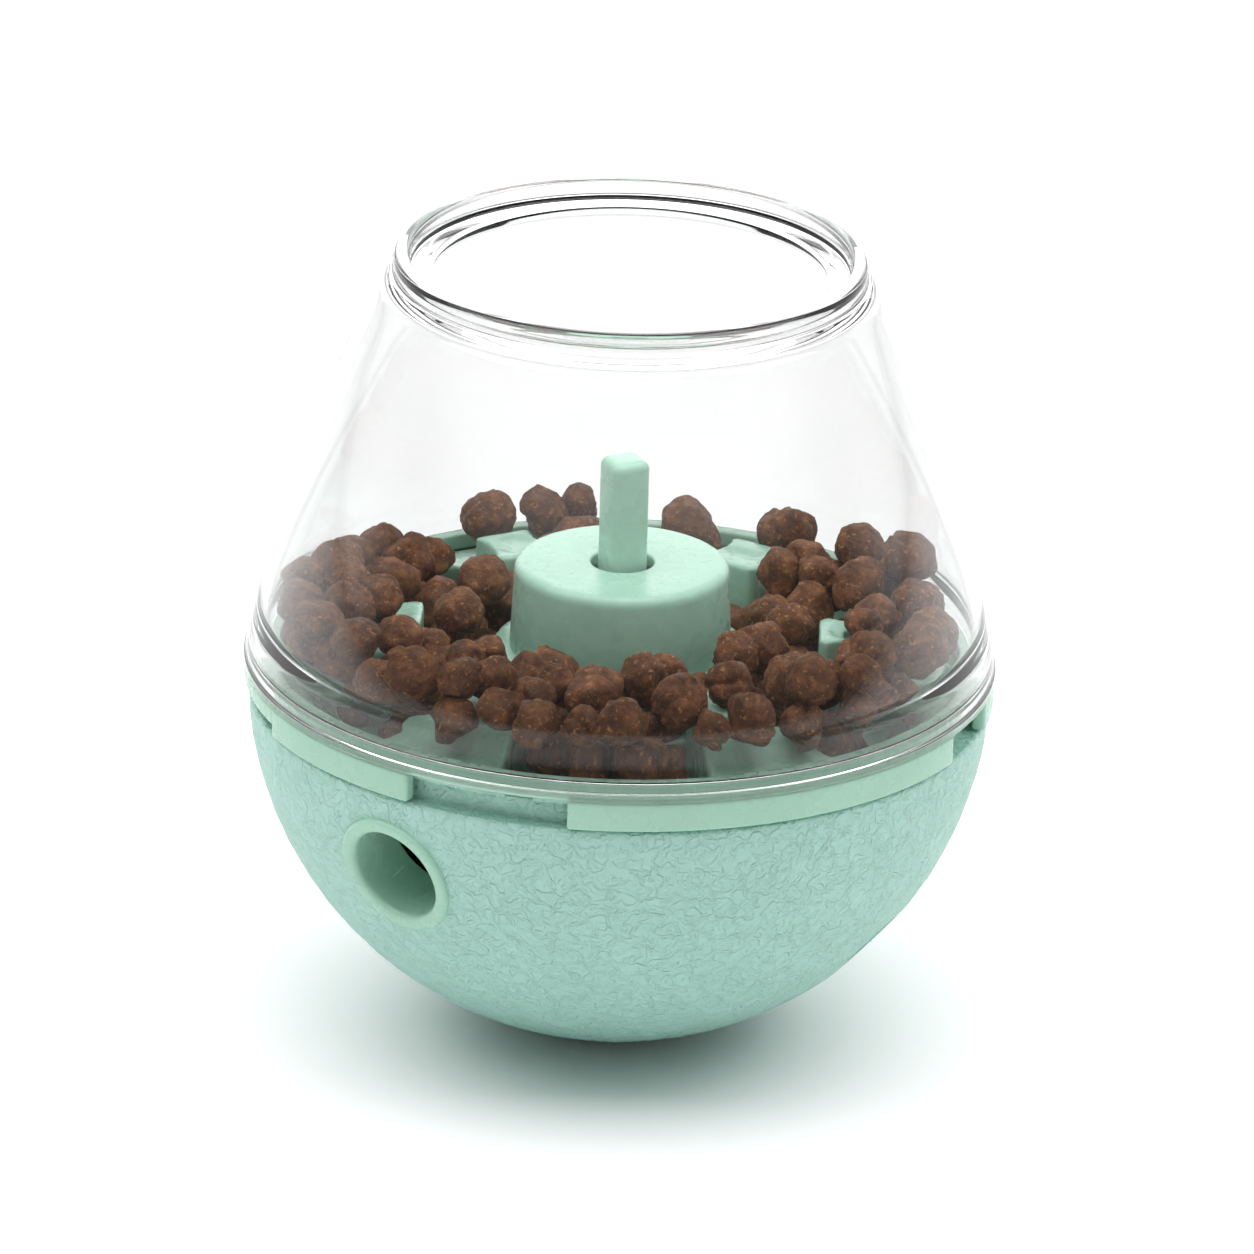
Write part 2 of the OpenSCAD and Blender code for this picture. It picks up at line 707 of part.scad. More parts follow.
function new_piece(seed) = let (
    n = rands(0, 1, 4, seed),
    r = food_r_min + (food_r_max - food_r_min) * n[0],
    half = r * (food_stretch[0] + (food_stretch[1] - food_stretch[0]) * n[1]),
    turn = 360 * n[2],
    tilt = food_tilt * (2 * n[3] - 1)
) [0, 0, 0, r, half * [cos(turn) * cos(tilt), sin(turn) * cos(tilt), sin(tilt)]];

function pour(count, top, reach, ground, free, seed, done = 0, pieces = [], balls = []) =
    done >= count ? pieces :
    let (
        piece = new_piece(seed + done),
        spots = rands(0, 1, 2 * food_tries, seed + done + spot_seed),
        tries = [for (k = [0 : food_tries - 1]) let (
            dist = sqrt(reach[0] * reach[0] + spots[2 * k] * (reach[1] * reach[1] - reach[0] * reach[0])),
            az = 360 * spots[2 * k + 1]
        ) put(piece, dist * sin(az), -dist * cos(az), balls, ground, free)],
        best = settle(best_of(tries), first_step, balls, ground, free),
        fits = best[2] + size_of(best) < top
    )
    pour(count, top, reach, ground, free, seed, done + 1,
        fits ? concat(pieces, [best]) : pieces, fits ? concat(balls, balls_of(best)) : balls);

// Height far above everything, for places where no piece may lie
barred = 999;

// Distances of a point from the middle and to the side, seen along the angle a
function outwards(x, y, a) = x * sin(a) - y * cos(a);
function sidewards(x, y, a) = abs(x * cos(a) + y * sin(a));

// Height of a ball of radius r on something with its top at z, with its edge off to the side
function on_top(z, off, r) = off < r ? z + sqrt(r * r - off * off) : 0;

function shoulder_ground(x, y, r) = max([for (a = block_az) let (
    out = outwards(x, y, a),
    half_w = head_size / 2 + shoulder_flare * (out - shoulder_start),
    side = (sidewards(x, y, a) - half_w) * cos(atan(shoulder_flare)),
    high = min(shoulder_high, shoulder_high - shoulder_fall * (out - r - shoulder_start)))
    out > 0 ? on_top(high, norm([max(0, shoulder_start - out), max(0, side)]), r) : 0]);

function off_head(x, y, a) = norm([
    max(0, abs(outwards(x, y, a) - block_ring_r) - head_size / 2),
    max(0, sidewards(x, y, a) - head_size / 2)
]);

// Food may lie on the covered blocks, and stays off the others
function head_ground(x, y, r) = max([for (a = covered_blocks)
    outwards(x, y, a) > 0 ? on_top(block_top, off_head(x, y, a), r) : 0]);
bare_blocks = [for (a = block_az) if (len(search(a, covered_blocks)) == 0) a];
function at_bare_head(x, y, r) = len([for (a = bare_blocks)
    if (outwards(x, y, a) > 0 && off_head(x, y, a) < r + food_gap) a]) > 0;

// Height of a ball of radius r on the floor, or sunk into a drop hole
function floor_ground(x, y, r) = let (
    off = min([for (a = block_az)
        norm([outwards(x, y, a + drop_turn) - drop_ring_r, sidewards(x, y, a + drop_turn)])]),
    edge = drop_r - off
)
    edge <= 0 ? floor_z + r :
    max(shutter_top + 2 * food_gap + r, edge < r ? floor_z + sqrt(r * r - edge * edge) : 0);

// Height of a ball of radius r on the tray's floor, side and block shoulders
function tray_ground(x, y, r) = food_gap + max(
    floor_ground(x, y, r),
    floor_z + (norm([x, y]) - floor_r) * tan(wall_slope) + r / cos(wall_slope),
    shoulder_ground(x, y, r),
    head_ground(x, y, r)
);

function tray_free(x, y, r) = let (dist = norm([x, y]))
    dist - r > hub_r + hub_draft + food_gap && dist + r < ring_in - food_gap && !at_bare_head(x, y, r);

// Height of a ball of radius r on the cover over the weight and the side of the bowl
function bowl_ground(x, y, r) = let (dist = norm([x, y]), room = inner_r - r - food_gap)
    max(cover_top + cover_crown + r + food_gap, mid_z - sqrt(room * room - dist * dist));

module food_piece(piece) {
    along = piece[4];
    half = norm(along);
    r = size_of(piece);
    translate([piece[0], piece[1], piece[2]])
        rotate([0, acos(along[2] / half), atan2(along[1], along[0])]) rotate_extrude($fn = 48) {
            block_section(0, r, -half, half);
            intersection() {
                for (z = [-half, half]) translate([0, z]) circle(r, $fn = 48);
                block_section(0, r, -half - r, half + r);
            }
        }
}

module tray_kibble() color(kibble_brown)
    for (p = pour(tray_food, floor_z + food_level, [hub_r + food_r_max, ring_in - food_r_min],
        function (x, y, r) tray_ground(x, y, r), function (x, y, r) tray_free(x, y, r), tray_seed))
            food_piece(p);

module bowl_kibble() color(kibble_brown)
    for (p = pour(bowl_food, bowl_food_top, [0, inside_r(inner_r, cover_top) - food_r_min / 2],
        function (x, y, r) bowl_ground(x, y, r), function (x, y, r) true, bowl_seed))
            food_piece(p);

base_bowl();
outlet_tube();
counterweight();
weight_cover();
weight_cover_screws();
food_tray();
drum();
drum_screws();
post();
friction_washer();
shutter();
shutter_washer();
shutter_screw();
lock_ring();
clear_dome();
tray_kibble();
bowl_kibble();
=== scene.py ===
"""Treat ball for cats on a white floor: camera, light, visible pieces and their materials.

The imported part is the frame. Sizes are in millimetres until a mesh is made, and angles in degrees
from the front (-Y), growing towards +X.
"""

import math
import random

import bmesh
import bpy
from mathutils import Matrix, Vector, noise
from mathutils.bvhtree import BVHTree


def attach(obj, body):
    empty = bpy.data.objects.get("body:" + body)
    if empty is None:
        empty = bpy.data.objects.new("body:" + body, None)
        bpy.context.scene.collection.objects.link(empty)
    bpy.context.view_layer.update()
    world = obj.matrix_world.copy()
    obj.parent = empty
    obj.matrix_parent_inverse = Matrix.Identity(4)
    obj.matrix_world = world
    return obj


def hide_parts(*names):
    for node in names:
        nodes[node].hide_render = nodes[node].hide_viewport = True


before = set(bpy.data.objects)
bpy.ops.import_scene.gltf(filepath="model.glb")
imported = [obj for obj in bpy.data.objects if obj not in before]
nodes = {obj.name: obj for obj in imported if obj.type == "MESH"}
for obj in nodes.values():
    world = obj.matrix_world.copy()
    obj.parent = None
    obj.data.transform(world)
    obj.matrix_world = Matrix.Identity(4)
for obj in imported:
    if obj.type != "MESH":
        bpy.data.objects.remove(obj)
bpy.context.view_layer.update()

MM = 0.001


# Camera

CAMERA_DROP = 21.64
CAMERA_ROLL = 1.63
CAMERA_DISTANCE = 1700
CAMERA_LENS = 333.9
LOOK_AT = Vector((0.94, 0, 60.73))


def add_camera():
    turn = Matrix.Rotation(math.radians(90 - CAMERA_DROP), 4, "X")
    roll = Matrix.Rotation(math.radians(CAMERA_ROLL), 4, "Z")
    back = turn @ Vector((0, 0, CAMERA_DISTANCE))
    data = bpy.data.cameras.new("camera")
    data.lens = CAMERA_LENS
    data.sensor_width = 36
    data.clip_end = 20
    camera = bpy.data.objects.new("camera", data)
    camera.matrix_world = Matrix.Translation((LOOK_AT + back) * MM) @ turn @ roll
    bpy.context.scene.collection.objects.link(camera)
    bpy.context.scene.camera = camera


# Sizes, as in the part

BOWL_R = 54.25
BOWL_WALL = 2.4
FLAT_R = 6
MID_Z = math.sqrt(BOWL_R**2 - FLAT_R**2)
LEDGE_Z = MID_Z - 3.2
LEDGE_ROUND = 0.6
NECK_TOP = LEDGE_Z + 3.2
NECK_R = BOWL_R - 2.7
NECK_IN = NECK_R - 2.2
LUG_TOP = NECK_TOP + 1.2
LUG_R = NECK_R + 1
LUG_ROOT = 0.6
LUGS = ((-116, -94), (-52, -17.4), (-13, 22), (80, 108), (164, 192))

LOCK_GAP = 0.3
HOOKS = (-112, 4, 90, 174)
HOOK_WIDTH = 14
TWIST = 22
STOP_GAP = 0.4
STOP_WIDTH = 1.6
BANDS = ((-66, -33), (-7.2, 62.5), (76.6, 146.3), (160.4, 230.1))
SHALLOW_BAND = (-115.8, -66)
SHALLOW_LIFT = 1.7
BAND_IN = LUG_R + LOCK_GAP
BAND_OUT = BOWL_R + 0.6
BAND_LOW = LEDGE_Z + LOCK_GAP
RIM_Z = LUG_TOP + LOCK_GAP
RIM_R = BAND_OUT + 0.15
RING_IN = NECK_IN + 0.6
RING_OUT = (BAND_IN + BAND_OUT) / 2
RING_WALL_OUT = BAND_IN + 0.1
RING_H = 2.2
RIM_LAP = 0.7

SHOULDER_R = 35.2
SHOULDER_Z = RIM_Z + 60.4
SIDE_CURVE_R = 240
DOME_WALL = 1.8
RIM_H = 1.2
THICK_BAND_H = 8
STEP_IN = 0.9
STEP_RUN = 4.5
MOUTH_R = 28.7
FLANGE_H = 2.3
COLLAR_OUT = SHOULDER_R - 1
COLLAR_W = 2.3
COLLAR_H = 2.7

OUTLET_AZ = -37.7
OUTLET_DROP = 17.7
OUTLET_R = 7.2
TUBE_WALL = 1.3
TUBE_LEN = 8.14
LIP_R = OUTLET_R + 2.3
LIP_SEAT = math.sqrt(BOWL_R**2 - LIP_R**2) - 0.5
LIP_EDGE = LIP_SEAT + 1.4

RECESS_AZ = 66
RECESS_DROP = 40
RECESS_R = 5.6
RECESS_DEPTH = 1.4

TRAY_FLOOR = LEDGE_Z - 4
TRAY_WALL = 1.6
HUB_TOP = TRAY_FLOOR + 11.4
DRUM_R = 15.7
DRUM_FOOT_R = DRUM_R + 0.5
DRUM_TOP = HUB_TOP + 13
DRUM_WALL = 1.8
DRUM_ROUND = 1.7
DRUM_HOLE_R = 4.6

POST_SIDE = 6
POST_ROUND = 1.4
POST_AZ = 26.3
POST_TOP = DRUM_TOP + 16
POST_COLLAR_Z = HUB_TOP + 0.8
POST_COLLAR_R = 6.4
POST_COLLAR_H = 2
SPINDLE_R = 3.4
KEY_R = 2.2
KEY_LENGTH = 1.8
SHUTTER_TOP = TRAY_FLOOR - TRAY_WALL - LOCK_GAP


# Mesh helpers


def place(azimuth, radius, z):
    """Point at an angle from the front, a distance from the axis and a height."""
    a = math.radians(azimuth)
    return Vector((radius * math.sin(a), -radius * math.cos(a), z))


def smooth_step(t):
    t = max(0, min(1, t))
    return t * t * (3 - 2 * t)


def arc(middle, radius, start, end, steps):
    """Points on a circle in the section plane, from one angle to another, both included."""
    turns = [math.radians(start + (end - start) * i / steps) for i in range(steps + 1)]
    return [(middle[0] + radius * math.cos(t), middle[1] + radius * math.sin(t)) for t in turns]


def rounded(corners, steps=5):
    """Closed outline from (x, y, radius) corners, each rounded by a quadratic curve."""
    points = []
    for i, (x, y, radius) in enumerate(corners):
        here = Vector((x, y))
        if radius == 0:
            points.append((x, y))
            continue
        before = Vector(corners[i - 1][:2]) - here
        after = Vector(corners[(i + 1) % len(corners)][:2]) - here
        reach = min(radius, before.length / 2, after.length / 2)
        start = here + before.normalized() * reach
        end = here + after.normalized() * reach
        for k in range(steps + 1):
            t = k / steps
            p = start * (1 - t) ** 2 + here * 2 * t * (1 - t) + end * t * t
            points.append((p.x, p.y))
    return points


def grid(bm, rows, close_rows=True, close_columns=True):
    """Quads between rows of points, in millimetres."""
    made = [[bm.verts.new(p * MM) for p in row] for row in rows]
    count = len(made)
    for i in range(count if close_rows else count - 1):
        row, after = made[i], made[(i + 1) % count]
        width = len(row)
        for k in range(width if close_columns else width - 1):
            n = (k + 1) % width
            bm.faces.new((row[k], row[n], after[n], after[k]))
    return made


def lathe(bm, outline, segments, matrix=None):
    """Turns a closed outline of (radius, height) round the axis."""
    matrix = matrix or Matrix.Identity(4)
    turn = 360 / segments
    rows = [[matrix @ place(turn * k, r, z) for k in range(segments)] for r, z in outline]
    grid(bm, rows)


def sector_block(bm, a, b, r0, r1, z0, z1, bevel):
    """Block between two angles, two radii and two heights, with rounded edges."""
    part = bmesh.new()
    steps = max(2, round((b - a) / 1.5))
    angles = [a + (b - a) * i / steps for i in range(steps + 1)]
    section = ((r0, z0), (r1, z0), (r1, z1), (r0, z1))
    rows = [[place(t, r, z) for r, z in section] for t in angles]
    made = grid(part, rows, close_rows=False)
    part.faces.new(reversed(made[0]))
    part.faces.new(made[-1])
    bmesh.ops.recalc_face_normals(part, faces=part.faces)
    sharp = [e for e in part.edges if e.calc_face_angle(0) > math.radians(60)]
    bmesh.ops.bevel(
        part, geom=sharp, offset=bevel * MM, segments=3, profile=0.5, affect="EDGES",
        clamp_overlap=True,
    )
    take_in(bm, part)


def take_in(bm, part):
    """Moves the mesh of part into bm."""
    mesh = bpy.data.meshes.new("part")
    part.to_mesh(mesh)
    part.free()
    bm.from_mesh(mesh)
    bpy.data.meshes.remove(mesh)


def finish_mesh(name, bm, sharp_angle=35):
    """Object from a bmesh, with smooth faces and sharp edges where it bends more than the angle."""
    bmesh.ops.recalc_face_normals(bm, faces=bm.faces)
    mesh = bpy.data.meshes.new(name)
    bm.to_mesh(mesh)
    bm.free()
    mesh.shade_smooth()
    mesh.set_sharp_from_angle(angle=math.radians(sharp_angle))
    obj = bpy.data.objects.new(name, mesh)
    bpy.context.scene.collection.objects.link(obj)
    return obj


def bake_modifiers(obj):
    """Replaces the object's mesh by its evaluated one."""
    bpy.context.view_layer.update()
    graph = bpy.context.evaluated_depsgraph_get()
    mesh = bpy.data.meshes.new_from_object(obj.evaluated_get(graph))
    obj.modifiers.clear()
    obj.data = mesh


def dress(obj, material, body, slot, *replaced):
    """Gives a piece its material and body, and hides the nodes that it stands for; the slot is not
    used.
    """
    obj.data.materials.clear()
    obj.data.materials.append(material)
    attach(obj, body)
    if replaced:
        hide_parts(*replaced)


# Materials

BLACK, WHITE = (0, 0, 0), (1, 1, 1)


class Shader:
    """A material with a principled shader and short calls for the nodes that feed it."""

    def __init__(self, name, **values):
        self.material = bpy.data.materials.new(name)
        self.material.use_nodes = True
        self.tree = self.material.node_tree
        self.main = self.tree.nodes["Principled BSDF"]
        for socket, value in values.items():
            self.main.inputs[socket.replace("_", " ")].default_value = value
        self.object_place = self.tree.nodes.new("ShaderNodeTexCoord").outputs["Object"]

    def link(self, out, into):
        self.tree.links.new(out, into)

    def noise(self, size, detail=3.0, roughness=0.5, distortion=0.0):
        """Noise whose features are about size millimetres across."""
        node = self.tree.nodes.new("ShaderNodeTexNoise")
        node.inputs["Scale"].default_value = 1 / (size * MM)
        node.inputs["Detail"].default_value = detail
        node.inputs["Roughness"].default_value = roughness
        node.inputs["Distortion"].default_value = distortion
        self.link(self.object_place, node.inputs["Vector"])
        return node.outputs["Fac"]

    def ramp(self, factor, *stops):
        """Colours of the (position, colour) stops, picked by the factor."""
        node = self.tree.nodes.new("ShaderNodeValToRGB")
        points = node.color_ramp.elements
        while len(points) < len(stops):
            points.new(0.5)
        for point, (at, colour) in zip(points, stops):
            point.position = at
            point.color = (*colour, 1)
        self.link(factor, node.inputs["Fac"])
        return node.outputs["Color"]

    def spread(self, factor, low, high):
        """Factor mapped from its middle range to the values from low to high."""
        node = self.tree.nodes.new("ShaderNodeMapRange")
        node.inputs["From Min"].default_value = 0.3
        node.inputs["From Max"].default_value = 0.7
        node.inputs["To Min"].default_value = low
        node.inputs["To Max"].default_value = high
        self.link(factor, node.inputs["Value"])
        return node.outputs["Result"]

    def mix(self, factor, first, second, blend="MIX"):
        node = self.tree.nodes.new("ShaderNodeMix")
        node.data_type = "RGBA"
        node.blend_type = blend
        for value, index in ((factor, 0), (first, 6), (second, 7)):
            socket = node.inputs[index]
            if isinstance(value, (int, float)):
                socket.default_value = value
            elif isinstance(value, tuple):
                socket.default_value = (*value, 1)
            else:
                self.link(value, socket)
        return node.outputs[2]

    def bump(self, height, depth, before=None):
        """Bump of depth millimetres, on top of another bump if one is given."""
        node = self.tree.nodes.new("ShaderNodeBump")
        node.inputs["Strength"].default_value = 1
        node.inputs["Distance"].default_value = depth * MM
        self.link(height, node.inputs["Height"])
        if before is not None:
            self.link(before, node.inputs["Normal"])
        return node.outputs["Normal"]

    def wire(self, socket, out):
        """Feeds a socket of the principled shader."""
        self.link(out, self.main.inputs[socket])


MINT = (0.385, 0.655, 0.510)
MINT_DEEP = (0.360, 0.620, 0.480)
BOWL_MINT = (0.410, 0.685, 0.595)
BOWL_MINT_DEEP = (0.385, 0.655, 0.565)


def smooth_mint():
    """Moulded plastic: slight cloudiness, softly uneven gloss and a barely wavy surface."""
    s = Shader("smooth_mint", IOR=1.5)
    s.wire("Base Color", s.ramp(s.noise(14), (0.3, MINT_DEEP), (0.7, MINT)))
    s.wire("Roughness", s.spread(s.noise(3), 0.24, 0.32))
    s.wire("Normal", s.bump(s.noise(2.5, detail=2), 0.006))
    return s.material


def rough_mint():
    """The bowl's skin: raised plates over fine wrinkles, on top of the modelled relief."""
    s = Shader("rough_mint", IOR=1.5)
    s.wire("Base Color", s.ramp(s.noise(9), (0.3, BOWL_MINT_DEEP), (0.7, BOWL_MINT)))
    s.wire("Roughness", s.spread(s.noise(1.2), 0.36, 0.5))
    folds = s.noise(1.9, detail=2, roughness=0.6, distortion=1.2)
    plates = s.ramp(folds, (0.38, BLACK), (0.58, WHITE))
    wrinkles = s.bump(s.noise(0.8, detail=2, distortion=0.6), 0.13)
    s.wire("Normal", s.bump(plates, 0.24, wrinkles))
    return s.material


CLEAR_LOW = (0.898, 0.901, 0.901)
CLEAR_HIGH = (0.912, 0.915, 0.915)
CLEAR_BODY = (0.10, 0.11, 0.11)
CLEAR_DENSITY = 8


def clear_plastic():
    """Clear moulded plastic with the faint waves of its mould, darker where it is thick."""
    s = Shader("clear_plastic", IOR=1.47, Roughness=0.0, Transmission_Weight=1.0)
    s.wire("Base Color", s.ramp(s.noise(30), (0.3, CLEAR_LOW), (0.7, CLEAR_HIGH)))
    s.wire("Normal", s.bump(s.noise(18, detail=1), 0.03))
    body = s.tree.nodes.new("ShaderNodeVolumeAbsorption")
    body.inputs["Color"].default_value = (*CLEAR_BODY, 1)
    body.inputs["Density"].default_value = CLEAR_DENSITY
    s.link(body.outputs["Volume"], s.tree.nodes["Material Output"].inputs["Volume"])
    return s.material


KIBBLE_DARK = (0.070, 0.026, 0.011)
KIBBLE_MID = (0.160, 0.060, 0.021)
KIBBLE_WARM = (0.330, 0.130, 0.042)
KIBBLE_FLECK = (0.520, 0.230, 0.075)


def baked_kibble():
    """Baked crumb: brown crust, darker pits and hollows, orange flecks and a coarse grain."""
    s = Shader("baked_kibble", IOR=1.45)
    crust = s.ramp(s.noise(2.6, detail=7, roughness=0.7),
                   (0.32, KIBBLE_DARK), (0.5, KIBBLE_MID), (0.68, KIBBLE_WARM))
    flecks = s.ramp(s.noise(0.8, detail=4, roughness=0.6), (0.58, BLACK), (0.70, WHITE))
    s.wire("Base Color", s.mix(flecks, crust, KIBBLE_FLECK))
    s.wire("Roughness", s.spread(s.noise(1.5), 0.5, 0.8))
    lumps = s.bump(s.noise(1.5, detail=5, roughness=0.65), 0.8)
    s.wire("Normal", s.bump(s.noise(0.45, detail=3, roughness=0.7), 0.25, lumps))
    return s.material


IRON_DARK, IRON_PALE = (0.06, 0.06, 0.06), (0.16, 0.155, 0.15)
STEEL_DARK, STEEL_PALE = (0.50, 0.51, 0.53), (0.62, 0.63, 0.65)
RUBBER_DARK, RUBBER_PALE = (0.045, 0.05, 0.048), (0.06, 0.066, 0.063)


def bare_iron():
    s = Shader("bare_iron", Metallic=1.0)
    s.wire("Base Color", s.ramp(s.noise(3, detail=5), (0.3, IRON_DARK), (0.7, IRON_PALE)))
    s.wire("Roughness", s.spread(s.noise(1.5), 0.5, 0.7))
    s.wire("Normal", s.bump(s.noise(0.8, detail=4), 0.12))
    return s.material


def plated_steel():
    s = Shader("plated_steel", Metallic=1.0)
    s.wire("Base Color", s.ramp(s.noise(2), (0.3, STEEL_DARK), (0.7, STEEL_PALE)))
    s.wire("Roughness", s.spread(s.noise(0.6), 0.25, 0.4))
    return s.material


def soft_rubber():
    s = Shader("soft_rubber")
    s.wire("Base Color", s.ramp(s.noise(2), (0.3, RUBBER_DARK), (0.7, RUBBER_PALE)))
    s.wire("Roughness", s.spread(s.noise(0.6), 0.6, 0.8))
    return s.material


# Bowl

SKIN_SEGMENTS = 512
SKIN_STEP = 0.68
SKIN_RELIEF = 0.20
FOLD_SIZE = 3.4
WIDE_FOLD_SIZE = 6.0
RIDGE_SIZE = 2.1
RIDGE_SWAY = 1.6
FADE_TOP = 0.1
FADE_LOW = 0.03
RECESS_FADE = 1.5
CUT_DEPTH = 12
CUT_PROUD = 4


def relief(point):
    """Height of the skin's leathery relief at a point of the bowl, in millimetres."""
    folds = noise.noise(point / FOLD_SIZE)
    wide = noise.noise(point / WIDE_FOLD_SIZE + Vector((9, 0, 4)))
    swayed = point + Vector((folds, wide, -folds)) * RIDGE_SWAY
    ridge = 1 - 2 * abs(noise.noise(swayed / RIDGE_SIZE))
    return SKIN_RELIEF * (0.75 * ridge + 0.5 * folds)


def bowl_outline():
    """Inner side of the bowl from its bottom up, and the neck with the ledge outside it."""
    inner_r = BOWL_R - BOWL_WALL
    low = math.degrees(math.asin(FLAT_R / inner_r))
    high = math.degrees(math.acos((MID_Z - LEDGE_Z) / inner_r)) - 3
    inner = arc((0, MID_Z), inner_r, low - 90, high - 90, 24)
    inner[0] = (0.2, BOWL_WALL)
    inner.insert(1, (FLAT_R, inner[1][1]))
    neck = rounded([
        (NECK_IN, LEDGE_Z - 1, 0), (NECK_IN, NECK_TOP, 0.4), (NECK_R, NECK_TOP, 0.25),
        (NECK_R, LEDGE_Z, 0.3), (BOWL_R - LEDGE_ROUND - 0.1, LEDGE_Z, 0),
    ], 3)
    return inner, neck


def skin_rows():
    """Rows of the outer skin from the ledge's rounding down to the flat spot, with the relief."""
    top = math.degrees(math.acos((MID_Z - LEDGE_Z + LEDGE_ROUND) / BOWL_R))
    low = math.degrees(math.asin(FLAT_R / BOWL_R))
    steps = round(math.radians(top - low) * BOWL_R / SKIN_STEP)
    middle = Vector((0, 0, MID_Z))
    recess = (radial_matrix(RECESS_AZ, RECESS_DROP) @ Vector((0, 0, 1)) - middle).normalized()
    rows = []
    for i in range(steps + 1):
        polar = math.radians(top + (low - top) * i / steps)
        fade = min(1, 3 * i / steps / FADE_TOP, (1 - i / steps) / FADE_LOW)
        row = []
        for k in range(SKIN_SEGMENTS):
            out = place(360 * k / SKIN_SEGMENTS, math.sin(polar), -math.cos(polar))
            point = middle + out * BOWL_R
            off = (out - recess).length * BOWL_R - RECESS_R
            row.append(point + out * relief(point) * min(fade, max(0, off / RECESS_FADE)))
        rows.append(row)
    return rows


def turned(outline, segments):
    """Rows of an outline of (radius, height), turned round the axis."""
    return [[place(360 * k / segments, r, z) for k in range(segments)] for r, z in outline]


def build_bowl(material):
    inner, neck = bowl_outline()
    edge_r = math.sqrt(BOWL_R**2 - (MID_Z - LEDGE_Z + LEDGE_ROUND) ** 2)
    ledge = arc((edge_r - LEDGE_ROUND, LEDGE_Z - LEDGE_ROUND), LEDGE_ROUND, 90, 15, 4)
    bm = bmesh.new()
    bottom = [(FLAT_R * 0.5, 0), (0.2, 0)]
    rows = turned(inner + neck + ledge, SKIN_SEGMENTS) + skin_rows() + turned(bottom, SKIN_SEGMENTS)
    grid(bm, rows)
    bowl = finish_mesh("bowl", bm, 50)
    hole_r = OUTLET_R + TUBE_WALL + 0.1
    cut_round(bowl, hole_r, LIP_SEAT - CUT_DEPTH, outlet_matrix())
    cut_round(bowl, RECESS_R, BOWL_R - RECESS_DEPTH, radial_matrix(RECESS_AZ, RECESS_DROP))
    bm = bmesh.new()
    bm.from_mesh(bowl.data)
    for a, b in LUGS:
        sector_block(bm, a, b, NECK_R - LUG_ROOT, LUG_R, NECK_TOP - 0.01, LUG_TOP, 0.35)
    for h in HOOKS:
        for a in (h - STOP_GAP - STOP_WIDTH, h + HOOK_WIDTH + TWIST + STOP_GAP):
            sector_block(bm, a, a + STOP_WIDTH, NECK_R - LUG_ROOT, LUG_R - 0.1, LEDGE_Z - 0.3,
                         NECK_TOP - LOCK_GAP, 0.2)
    bm.to_mesh(bowl.data)
    bm.free()
    bowl.data.shade_smooth()
    bowl.data.set_sharp_from_angle(angle=math.radians(40))
    dress(bowl, material, "base", "bowl", "base_bowl")


def radial_matrix(azimuth, drop):
    """Turns the Z axis to point outwards from the bowl's middle, a drop below the horizon."""
    turn = Matrix.Rotation(math.radians(azimuth), 4, "Z")
    tilt = Matrix.Rotation(math.radians(90 + drop), 4, "X")
    return Matrix.Translation((0, 0, MID_Z)) @ turn @ tilt


def outlet_matrix():
    return radial_matrix(OUTLET_AZ, OUTLET_DROP)


def cut_round(bowl, radius, floor, matrix):
    """Cuts a round hole from the outside of the bowl down to a distance from its middle."""
    bm = bmesh.new()
    top = LIP_EDGE + CUT_PROUD
    lathe(bm, [(0.05, floor), (radius, floor), (radius, top), (0.05, top)], 96, matrix)
    cutter = finish_mesh("cutter", bm)
    cut = bowl.modifiers.new("cut", "BOOLEAN")
    cut.operation = "DIFFERENCE"
    cut.object = cutter
    cut.solver = "EXACT"
    bake_modifiers(bowl)
    bpy.data.objects.remove(cutter)


def build_outlet(material):
    bm = bmesh.new()
    tube_r = OUTLET_R + TUBE_WALL
    tube_end = LIP_SEAT - TUBE_LEN
    outline = rounded([
        (OUTLET_R, tube_end, 0.3), (tube_r, tube_end, 0.4), (tube_r, LIP_SEAT, 0),
        (LIP_R, LIP_SEAT, 0), (LIP_R, LIP_EDGE, 1.0), (OUTLET_R, LIP_EDGE, 1.9),
    ], 8)
    lathe(bm, outline, 144, outlet_matrix())
    dress(finish_mesh("outlet", bm), material, "base", "mint", "outlet_tube")


# Lock ring


def build_lock_ring(material):
    bm = bmesh.new()
    step_r = RING_OUT - 0.2
    inside = rounded([
        (RING_IN, RIM_Z, 0.3), (step_r, RIM_Z, 0.1), (step_r, RIM_Z + RIM_LAP, 0.1),
        (RING_WALL_OUT, RIM_Z + RIM_LAP, 0.1), (RING_WALL_OUT, RIM_Z + RING_H, 0.4),
        (RING_IN, RIM_Z + RING_H, 0.4),
    ], 3)
    lathe(bm, inside, 240)
    band_top = RIM_Z - 0.05
    for a, b in BANDS:
        sector_block(bm, a, b, BAND_IN, BAND_OUT, BAND_LOW, band_top, 0.45)
    a, b = SHALLOW_BAND
    sector_block(bm, a, b + 0.6, BAND_IN, BAND_OUT - 0.02, BAND_LOW + SHALLOW_LIFT, band_top, 0.45)
    for a, b in (*BANDS, SHALLOW_BAND):
        sector_block(bm, a + 0.6, b - 0.6, BAND_IN + 0.1, step_r, band_top - 0.8, RIM_Z + 0.3, 0.05)
    for h in HOOKS:
        sector_block(bm, h, h + HOOK_WIDTH, NECK_R + LOCK_GAP, BAND_IN + 0.4, BAND_LOW + 0.2,
                     NECK_TOP - LOCK_GAP, 0.15)
    dress(finish_mesh("lock_ring_skin", bm), material, "cover", "mint", "lock_ring")


# Dome

RING_SEAT_GAP = 0.1


